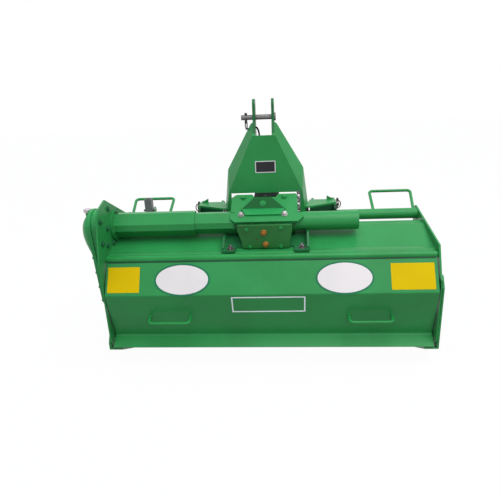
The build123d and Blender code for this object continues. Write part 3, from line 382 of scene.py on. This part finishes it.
# Tailboard fittings: two bent bars welded on to lift it by, and stickers of coloured
# film. The ovals, the framed strip and the yellow squares are left blank.
fold_z, heel_z, handle_z = 0.290, 0.106, 0.195
tail_top = Vector((0, -0.185, 0.402))
tail_fold = Vector((0, -0.254, fold_z))
tail_heel = Vector((0, -0.207, heel_z))
sticker_gap = 0.0002


def on_tailboard(above, below, x, down):
    """Place on a face of the tailboard: own X across, own Y up the slope, own Z outwards."""
    across, rise = Vector((1, 0, 0)), (above - below).normalized()
    outward = across.cross(rise)
    at = above - rise * down + Vector((x, 0, 0)) + outward * sticker_gap
    return Matrix.Translation(at) @ Matrix((across, rise, outward)).transposed().to_4x4()


def film(name, finish, place, width, height, around=0, body="tailboard", thick=0.0004):
    """A thin sticker: an oval where it has points around it, or else a square cut."""
    bm = bmesh.new()
    if around:
        bmesh.ops.create_circle(bm, cap_ends=True, segments=around, radius=0.5)
    else:
        bmesh.ops.create_grid(bm, x_segments=1, y_segments=1, size=0.5)
    bmesh.ops.scale(bm, vec=(width, height, 1.0), verts=bm.verts)
    base = bmesh.ops.extrude_face_region(bm, geom=list(bm.faces))
    lifted = [v for v in base["geom"] if isinstance(v, bmesh.types.BMVert)]
    bmesh.ops.translate(bm, vec=(0, 0, thick), verts=lifted)
    bmesh.ops.transform(bm, matrix=place, verts=bm.verts)
    bmesh.ops.recalc_face_normals(bm, faces=bm.faces)
    return finished(name, bm, finish, body, smooth=False)


film_white = coat("white_film", (0.66, 0.62, 0.56), (0.63, 0.595, 0.54), 0.32, 500.0, 0.05)
film_green = coat("green_film", (0.004, 0.150, 0.060), (0.004, 0.130, 0.052), 0.30, 500.0, 0.05)
film_yellow = coat("yellow_film", (0.60, 0.42, 0.0), (0.56, 0.39, 0.0), 0.36, 500.0, 0.05)
film_yellow.node_tree.nodes["Principled BSDF"].inputs["Specular IOR Level"].default_value = 0.05
# Near-black green film, used below as a painted shadow under the hinge tube.
film_hinge_shadow = coat("painted_hinge_shadow", (0.006, 0.060, 0.020), (0.005, 0.045, 0.015), 0.50, 200.0, 0.10)
for side, centre_x in (("left", -0.249), ("right", 0.327)):
    oval_place = on_tailboard(tail_top, tail_fold, centre_x, 0.075)
    film(f"oval_rim_{side}", film_green, oval_place, 0.202, 0.1185, around=72)
    film(f"oval_{side}", film_white, oval_place, 0.189, 0.106, around=72, thick=0.0007)
for side, low_x, high_x in (("left", -0.522, -0.4045), ("right", 0.4855, 0.6335)):
    square_place = on_tailboard(tail_top, tail_fold, (low_x + high_x) / 2, 0.0730)
    film(f"yellow_square_{side}", film_yellow, square_place, high_x - low_x, 0.093)
strip_place = on_tailboard(tail_fold, tail_heel, 0.058, 0.0445)
bm = bmesh.new()
bmesh.ops.create_grid(bm, x_segments=1, y_segments=1, size=0.5)
bmesh.ops.scale(bm, vec=(0.262, 0.070, 1.0), verts=bm.verts)
rim = bmesh.ops.inset_region(
    bm, faces=list(bm.faces), thickness=0.0045, use_boundary=True, use_even_offset=True)["faces"]
bmesh.ops.delete(bm, geom=[f for f in bm.faces if f not in rim], context="FACES")
frame_wall = bmesh.ops.extrude_face_region(bm, geom=list(bm.faces))
lifted = [v for v in frame_wall["geom"] if isinstance(v, bmesh.types.BMVert)]
bmesh.ops.translate(bm, vec=(0, 0, 0.0004), verts=lifted)
bmesh.ops.transform(bm, matrix=strip_place, verts=bm.verts)
bmesh.ops.recalc_face_normals(bm, faces=bm.faces)
strip_white = coat("strip_white", (0.88, 0.92, 0.90), (0.84, 0.88, 0.86), 0.32, 500.0, 0.05)
finished("framed_strip", bm, strip_white, "tailboard", smooth=False)

# A thin dark strip just below the hinge tube: a painted shadow of the gap under the tube.
hinge_shadow_place = on_tailboard(tail_top, tail_fold, machine_mid, 0.0085)
film("painted_shadow_under_hinge", film_hinge_shadow, hinge_shadow_place, 1.168, 0.0055)

handle_at = tail_fold.lerp(tail_heel, (fold_z - handle_z) / (fold_z - heel_z))
handle_out = Vector((1, 0, 0)).cross((tail_fold - tail_heel).normalized())
handle_reach, handle_half = 0.361, 0.075
bm = bmesh.new()
for handle_x in (machine_mid - handle_reach, machine_mid + handle_reach):
    for foot in (-handle_half, handle_half):
        weld(bm, ring_points(handle_at + Vector((handle_x + foot, 0, 0)), handle_out, 0.0068, 14), 0.0022)
finished("handle_welds", bm, sheet_green, "tailboard")

# Chain case: a welded oil-tight box with its cover pressed in a press and bolted on all
# round. A plated filler cap with a milled edge closes the neck on top.
cover_green = coat("case_enamel", (0.026, 0.285, 0.070), (0.023, 0.250, 0.060), 0.26, 300.0, 0.08)
dress(cover_green, "chain_case_body", "chain_case_cover")
bm = bmesh.new()
case_top, case_low = Vector((-0.6195, -0.042, 0.493)), Vector((-0.6195, -0.015, 0.207))
case_run = (case_top - case_low).normalized()
case_side = Vector((1, 0, 0)).cross(case_run)
top_reach, low_reach, reach_lost, case_bolt = 0.0605, 0.0565, 0.004, 0.0050
for k in range(5):
    for middle, reach, first in ((case_top, top_reach, -72), (case_low, low_reach, 108)):
        turn = math.radians(first + 36 * k)
        out = case_run * math.cos(turn) + case_side * math.sin(turn)
        hex_bolt(bm, middle + reach * out, (-1, 0, 0), case_bolt)
for k in range(4):
    share = 0.16 + 0.225 * k
    middle = case_top.lerp(case_low, share)
    for side in (-1, 1):
        hex_bolt(bm, middle + side * (top_reach - reach_lost * share) * case_side, (-1, 0, 0), case_bolt)
finished("chain_case_bolts", bm, cover_green, "chassis", smooth=False)
nut_zinc = coat("nut_zinc", (0.62, 0.56, 0.57), (0.34, 0.30, 0.31), 0.34, 260.0, 0.2, metal=0.70)
dress(nut_zinc, "oil_filler_cap")
cap_at, cap_reach, teeth = Vector((-0.6345, -0.042, 0.5545)), 0.0136, 30
bm = bmesh.new()
for k in range(teeth):
    turn = 2 * math.pi * k / teeth
    tooth_at = cap_at + Vector((cap_reach * math.cos(turn), cap_reach * math.sin(turn), 0.0))
    bmesh.ops.create_cone(
        bm, cap_ends=True, segments=6, radius1=0.0011, radius2=0.0011, depth=0.010,
        matrix=Matrix.Translation(tooth_at))
finished("filler_cap_milling", bm, nut_zinc, "chassis", smooth=False)

# Drive beam: an eight-cornered sleeve welded to a round flange on the left side plate,
# and a smaller beam that slides in it to the gearbox. A plain tube closes the right side.
beam_green = coat("beam_enamel", paint_green, paint_shade, 0.27, 300.0, 0.10)
dress(beam_green, "drive_beam_flange", "drive_beam_sleeve", "drive_beam_inner", "shaft_cover_tube")
drive_at = Vector((0.0, -0.042, 0.493))


def beam_ring(x, half, flat):
    """Corners of the beam's cross-section at a place along it."""
    corners = [(-half, flat), (-flat, half), (flat, half), (half, flat),
               (half, -flat), (flat, -half), (-flat, -half), (-half, -flat), (-half, flat)]
    return [Vector((x, drive_at.y + y, drive_at.z + z)) for y, z in corners]


bm = bmesh.new()
weld(bm, beam_ring(-0.5250, 0.0475, 0.0125), 0.0032)
weld(bm, beam_ring(-0.0675, 0.0405, 0.0115), 0.0030)
weld(bm, ring_points((0.1597, drive_at.y, drive_at.z), (1, 0, 0), 0.0358, 36), 0.0026)
finished("beam_welds", bm, beam_green, "chassis")
bm = bmesh.new()
for y, z in ((-0.090, 0.571), (-0.179, 0.547), (-0.122, 0.505),
             (-0.142, 0.447), (-0.187, 0.467), (-0.083, 0.436)):
    hex_bolt(bm, (left_inside, y, z), (1, 0, 0), 0.0085)
hex_bolt(bm, (-0.5255, drive_at.y, drive_at.z + 0.0475), (1, 0, 0), 0.0085)
finished("chain_case_through_bolts", bm, skid_steel, "chassis", smooth=False)

# Gearbox: a cast housing with a bolted rear cover and two brass plugs, one to fill and
# one to read the oil level. Its folded saddle and sloping top plate are steel.
# The housing is painted a darker green than the hub's cast paint, as painted shade.
dress(coat("housing_painted_shade", (0.013, 0.120, 0.026), (0.008, 0.075, 0.016), 0.42, 120.0, 0.5), "gearbox_housing")
cover_cast = worn(
    coat("rear_cover_green", (0.019, 0.150, 0.030), (0.014, 0.110, 0.020), 0.36, 130.0, 0.45),
    (0.034, 0.075, 0.018), 0.10, 30.0)
dress(cover_cast, "gearbox_rear_cover")
dress(sheet_green, "gearbox_top_plate")
# The saddle is painted a darker green than the sheets, as painted shade between its cheeks and the cover.
dress(coat("saddle_painted_shade", (0.015, 0.145, 0.040), (0.010, 0.095, 0.030), 0.34, 200.0, 0.20), "gearbox_saddle")
# The eye bracket is painted a darker green above 0.5475 as painted shade, and the sheet green on its flat foot
# below.
eye_painted_shade = lower_down(
    coat("eye_bracket_painted_shade", (0.015, 0.150, 0.036), (0.013, 0.130, 0.030), 0.34, 300.0, 0.10),
    (0.012, 0.250, 0.055), 0.5475, 0.5440)
dress(eye_painted_shade, "gearbox_eye_bracket")
plug_brass = worn(
    coat("plug_brass", (0.36, 0.18, 0.035), (0.26, 0.11, 0.020), 0.40, 200.0, 0.3, metal=0.7),
    (0.14, 0.12, 0.04), 0.12, 90.0)
dress(plug_brass, "gearbox_oil_plugs")
bm = bmesh.new()
for x, z in ((-0.017, 0.490), (0.107, 0.495), (-0.006, 0.4245), (0.106, 0.4245)):
    hex_bolt(bm, (x, -0.127, z), (0, -1, 0), 0.0064)
finished("rear_cover_bolts", bm, bar_green, "chassis", smooth=False)
bm = bmesh.new()
for x, z in ((0.0445, 0.477), (0.0505, 0.432)):
    bmesh.ops.create_cone(
        bm, cap_ends=True, segments=28, radius1=0.0118, radius2=0.0112, depth=0.0022,
        matrix=facing((x, -0.1281, z), (0, -1, 0)))
    bmesh.ops.create_uvsphere(
        bm, u_segments=20, v_segments=10, radius=0.0058,
        matrix=facing((x, -0.1350, z), (0, -1, 0)) @ Matrix.Diagonal((1, 1, 0.35, 1)))
finished("plug_washers", bm, plug_brass, "chassis")

slope = Vector((0, -0.544, 1)).normalized()
bm = bmesh.new()
for x in (-0.0405, 0.1208):
    nut_at = Vector((x, -0.0655, 0.5271))
    hex_bolt(bm, nut_at, slope, 0.0098, washer=1.12)
    bmesh.ops.create_uvsphere(
        bm, u_segments=24, v_segments=12, radius=0.0084, matrix=facing(nut_at + slope * 0.0072, slope))
finished("top_plate_nuts", bm, nut_zinc, "chassis", smooth=False)
bm = bmesh.new()
for x in (-0.0358, 0.1197):
    hex_bolt(bm, (x, 0.0170, 0.5720), slope, 0.0095)
finished("top_plate_bolts", bm, sheet_green, "chassis", smooth=False)
bm = bmesh.new()
for x, y in ((-0.0780, -0.1400), (0.1815, -0.1370)):
    hex_bolt(bm, (x, y, 0.4210), (0, 0, 1), 0.0100, washer=1.30)
    bmesh.ops.create_cone(
        bm, cap_ends=True, segments=20, radius1=0.0058, radius2=0.0050, depth=0.0070,
        matrix=Matrix.Translation((x, y, 0.4340)))
dark_zinc = worn(
    coat("dark_zinc", (0.42, 0.38, 0.39), (0.10, 0.07, 0.07), 0.34, 260.0, 0.2, metal=0.70),
    (0.045, 0.020, 0.020), 0.22, 120.0)
finished("saddle_bolts", bm, dark_zinc, "chassis", smooth=False)
bm = bmesh.new()
weld(bm, [(-0.0400, -0.0375, 0.5426), (0.1230, -0.0375, 0.5426)], 0.0028)
for x in (-0.1005, 0.2005):
    weld(bm, [(x, -0.147, 0.4215), (x, -0.125, 0.4215), (x, -0.020, 0.4520)], 0.0026)
finished("gearbox_welds", bm, sheet_green, "chassis")

# Input shaft of bright steel with six splines, and round it a guard moulded in black
# plastic, bolted to the front of the gearbox.
dress(bolt_steel, "pto_shaft")
guard_black = coat("guard_black", (0.009, 0.018, 0.013), (0.006, 0.012, 0.008), 0.70, 380.0, 0.35)
guard_black.node_tree.nodes["Principled BSDF"].inputs["Specular IOR Level"].default_value = 0.04
dress(guard_black, "pto_guard")
bm = bmesh.new()
for x, z in ((0.0095, 0.478), (0.0855, 0.478), (0.0475, 0.5620)):
    hex_bolt(bm, (x, 0.059, z), (0, 1, 0), 0.0055)
finished("guard_bolts", bm, bolt_steel, "chassis", smooth=False)

# Headstock: one folded and welded shell that stands on the front tube. Two lugs come up
# out of it for the top link, and a blank plate sits on its back.
stock_green = coat("headstock_enamel", paint_green, paint_shade, 0.33, 300.0, 0.10)
dress(stock_green, "headstock_shell")
# The lugs are painted a darker green than the shell, as painted shade.
lug_painted_shade = coat("lug_painted_shade", (0.013, 0.135, 0.036), (0.011, 0.115, 0.030), 0.36, 300.0, 0.10)
dress(lug_painted_shade, "headstock_lug_left", "headstock_lug_right")
plate_rim = coat("plate_rim", (0.60, 0.61, 0.62), (0.50, 0.51, 0.52), 0.35, 400.0, 0.1, metal=0.9)
plate_black = coat("plate_black", (0.020, 0.020, 0.022), (0.014, 0.014, 0.015), 0.34, 400.0, 0.1)
plate_place = Matrix.Translation((0.0505, 0.0598, 0.682)) @ Matrix.Rotation(math.radians(90), 4, "X")
film("blank_plate_rim", plate_rim, plate_place, 0.078, 0.045, body="chassis", thick=0.0008)
film("blank_plate", plate_black, plate_place, 0.072, 0.039, body="chassis", thick=0.0012)
hitch_mid = 0.0475
bm = bmesh.new()
for side in (-1, 1):
    for face in (0.0408, 0.0302):
        weld(bm, [(hitch_mid + side * face, 0.0668, z) for z in (0.735, 0.792)], 0.0026)
    for foot_y, foot_z in ((0.1310, 0.4860), (0.1142, 0.4818)):
        weld(bm, [(hitch_mid + side * reach, foot_y, foot_z) for reach in (0.160, 0.170)], 0.0026)
finished("headstock_welds", bm, stock_green, "chassis")

# Hitch pins are turned steel with a head. A linchpin goes through each one, and its
# round spring ring snaps over the end so that it can't work out.
pin_steel = worn(
    coat("pin_steel", (0.24, 0.23, 0.225), (0.15, 0.145, 0.14), 0.38, 160.0, 0.3, metal=0.8),
    (0.09, 0.06, 0.05), 0.10, 60.0)
linch_steel = coat("linch_steel", (0.13, 0.125, 0.125), (0.05, 0.048, 0.05), 0.42, 220.0, 0.2, metal=0.6)
dress(pin_steel, "top_link_pin", "hitch_pin_left", "hitch_pin_right")


def wire_ring(bm, x, y, top, low, thick, steps):
    """Closed ring of wire: top is the height where it starts, low that of its middle."""
    wire = bmesh.ops.create_circle(bm, segments=10, radius=thick, matrix=facing((x, y, top), (0, 1, 0)))
    bmesh.ops.spin(
        bm, geom=list({e for v in wire["verts"] for e in v.link_edges}) + wire["verts"],
        cent=(x, y, low), axis=(1, 0, 0), angle=2 * math.pi, steps=steps, use_merge=True)


for node, x, y, z, turned, drop, ring, knob in (
    ("top_link_linchpin", -0.0200, 0.113, 0.863, 14.0, 0.0225, 0.0215, 0.0135),
    ("hitch_linchpin_left", -0.2470, 0.213, 0.490, 68.0, 0.0045, 0.0180, 0.0190),
    ("hitch_linchpin_right", 0.3420, 0.213, 0.490, -60.0, 0.0045, 0.0170, 0.0190),
):
    bm = bmesh.new()
    bmesh.ops.create_cone(
        bm, cap_ends=True, segments=20, radius1=0.0020, radius2=0.0034, depth=0.006,
        matrix=Matrix.Translation((x, y, z - 0.020)))
    bmesh.ops.create_cone(
        bm, cap_ends=True, segments=20, radius1=0.0034, radius2=0.0034, depth=0.017 + knob,
        matrix=Matrix.Translation((x, y, z + (knob - 0.017) / 2)))
    bmesh.ops.create_cone(
        bm, cap_ends=True, segments=20, radius1=0.0054, radius2=0.0048, depth=0.008,
        matrix=Matrix.Translation((x, y, z + knob)))
    wire_ring(bm, x, y, z + ring - drop, z - drop, 0.0021, 40)
    swing = Matrix.Rotation(math.radians(turned), 4, "Z")
    bmesh.ops.rotate(bm, cent=(x, y, z), matrix=swing, verts=bm.verts)
    bmesh.ops.recalc_face_normals(bm, faces=bm.faces)
    linch = finished(f"{node}_ring", bm, linch_steel, "chassis")
    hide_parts(node)


# A short steel chain hangs inside the right leg of the headstock, and a black tie holds
# the top linchpin to the left lug so that it can't be lost.
def bridged(bm, one, other):
    """Puts a wall between two rims of points."""
    edges = [e for rim in (one, other) for v in rim for e in v.link_edges if e.other_vert(v) in rim]
    bmesh.ops.bridge_loops(bm, edges=list(set(edges)))


def bent_wire(bm, points, thick):
    """Round wire along a run of points, closed at both ends."""
    rims = []
    for number, point in enumerate(points):
        before = points[max(number - 1, 0)]
        after = points[min(number + 1, len(points) - 1)]
        way = Vector(after) - Vector(before)
        rims.append(bmesh.ops.create_circle(
            bm, cap_ends=number in (0, len(points) - 1), segments=12, radius=thick,
            matrix=facing(point, way))["verts"])
    for one, other in zip(rims, rims[1:]):
        bridged(bm, one, other)


def chain_link(bm, at, turned, long, wide, thick):
    """One oval link of a chain that hangs straight down."""
    count, points = 24, []
    for k in range(count):
        turn = 2 * math.pi * k / count
        straight = math.copysign((long - wide) / 2, math.sin(turn))
        flat = Vector((wide / 2 * math.cos(turn), 0, straight + wide / 2 * math.sin(turn)))
        points.append(Vector(at) + Matrix.Rotation(turned, 3, "Z") @ flat)
    rims = []
    for k in range(count):
        place = facing(points[k], points[(k + 1) % count] - points[k - 1])
        rims.append(bmesh.ops.create_circle(bm, segments=8, radius=thick, matrix=place)["verts"])
    for k in range(count):
        bridged(bm, rims[k - 1], rims[k])


chain_steel = coat("chain_steel", (0.30, 0.28, 0.29), (0.04, 0.038, 0.04), 0.36, 90.0, 0.2, metal=0.7)
chain_x, chain_pitch = 0.1760, 0.0155
bm = bmesh.new()
for k in range(5):
    link_at, link_turn = (chain_x, 0.0505, 0.5680 - chain_pitch * k), math.radians(25 + 90 * (k % 2))
    chain_link(bm, link_at, link_turn, 0.0220, 0.0125, 0.0023)
hex_bolt(bm, (chain_x, 0.0580, 0.5790), (0, -1, 0), 0.0060)
bmesh.ops.recalc_face_normals(bm, faces=bm.faces)
finished("safety_chain", bm, chain_steel, "chassis")
tie_thick = 0.0034
outer_run = [(-0.0195, 0.1125, 0.8215), (-0.0120, 0.1085, 0.8210), (-0.0030, 0.1035, 0.8240),
             (0.0072, 0.0980, 0.8285)]
inner_run = [(0.0168, 0.0940, 0.8290), (0.0230, 0.0910, 0.8255), (0.0275, 0.0870, 0.8170),
             (0.0300, 0.0830, 0.8060), (0.0310, 0.0800, 0.7950), (0.0300, 0.0770, 0.7860)]
bm = bmesh.new()
bent_wire(bm, outer_run, tie_thick)
bent_wire(bm, inner_run, tie_thick)
bmesh.ops.recalc_face_normals(bm, faces=bm.faces)
finished("linchpin_tie", bm, guard_black, "chassis")

# Lower hitch brackets: two ears and a top plate, welded together and to the front tube.
# Below the top plate the brackets and their welds are painted near-black green, a painted shade under the top
# plate.
bracket_painted_shade = lower_down(
    coat("bracket_painted_shade", paint_green, paint_shade, 0.33, 300.0, 0.10),
    (0.005, 0.050, 0.018), 0.5155, 0.5110)
dress(bracket_painted_shade, "hitch_bracket_left", "hitch_bracket_right")
bm = bmesh.new()
for side in (-1, 1):
    for ear in (0.196, 0.186, 0.281, 0.271):
        ear_x = hitch_mid + side * ear
        turns = [math.radians(a) for a in range(-60, 61, 12)]
        weld(bm, [(ear_x, tube_y + tube_radius * math.cos(t), tube_z + tube_radius * math.sin(t))
                  for t in turns], 0.0024)
finished("bracket_welds", bm, bracket_painted_shade, "chassis")

# Two loops of round bar, bent and welded to the front tube, keep branches off the hitch.
dress(sheet_green, "front_guard_left", "front_guard_right")
loop_end_y = 0.2665
bm = bmesh.new()
for side, loop_end_z in ((-1, 0.518), (1, 0.525)):
    for reach in (0.424, 0.5835):
        rise = Vector((0, loop_end_y - tube_y, loop_end_z - tube_z)).normalized()
        bar = Vector((machine_mid + side * reach, tube_y, tube_z)) + tube_radius * rise
        weld(bm, ring_points(bar, rise, 0.0070, 16), 0.0020)
finished("loop_welds", bm, sheet_green, "chassis")

# Parking leg: a galvanised square tube in a green sleeve, with a pin through its top.
leg_zinc = worn(
    coat("galvanised_tube", (0.26, 0.25, 0.26), (0.17, 0.16, 0.165), 0.50, 90.0, 0.25, metal=0.35),
    (0.10, 0.09, 0.08), 0.10, 35.0)
dress(leg_zinc, "stand_leg")
dress(pin_steel, "stand_pin")
dress(sheet_green, "stand_sleeve")
bm = bmesh.new()
wire_ring(bm, -0.4405, 0.205, 0.4970, 0.4830, 0.0022, 32)
bmesh.ops.recalc_face_normals(bm, faces=bm.faces)
finished("stand_pin_ring", bm, sheet_green, "parking_stand")
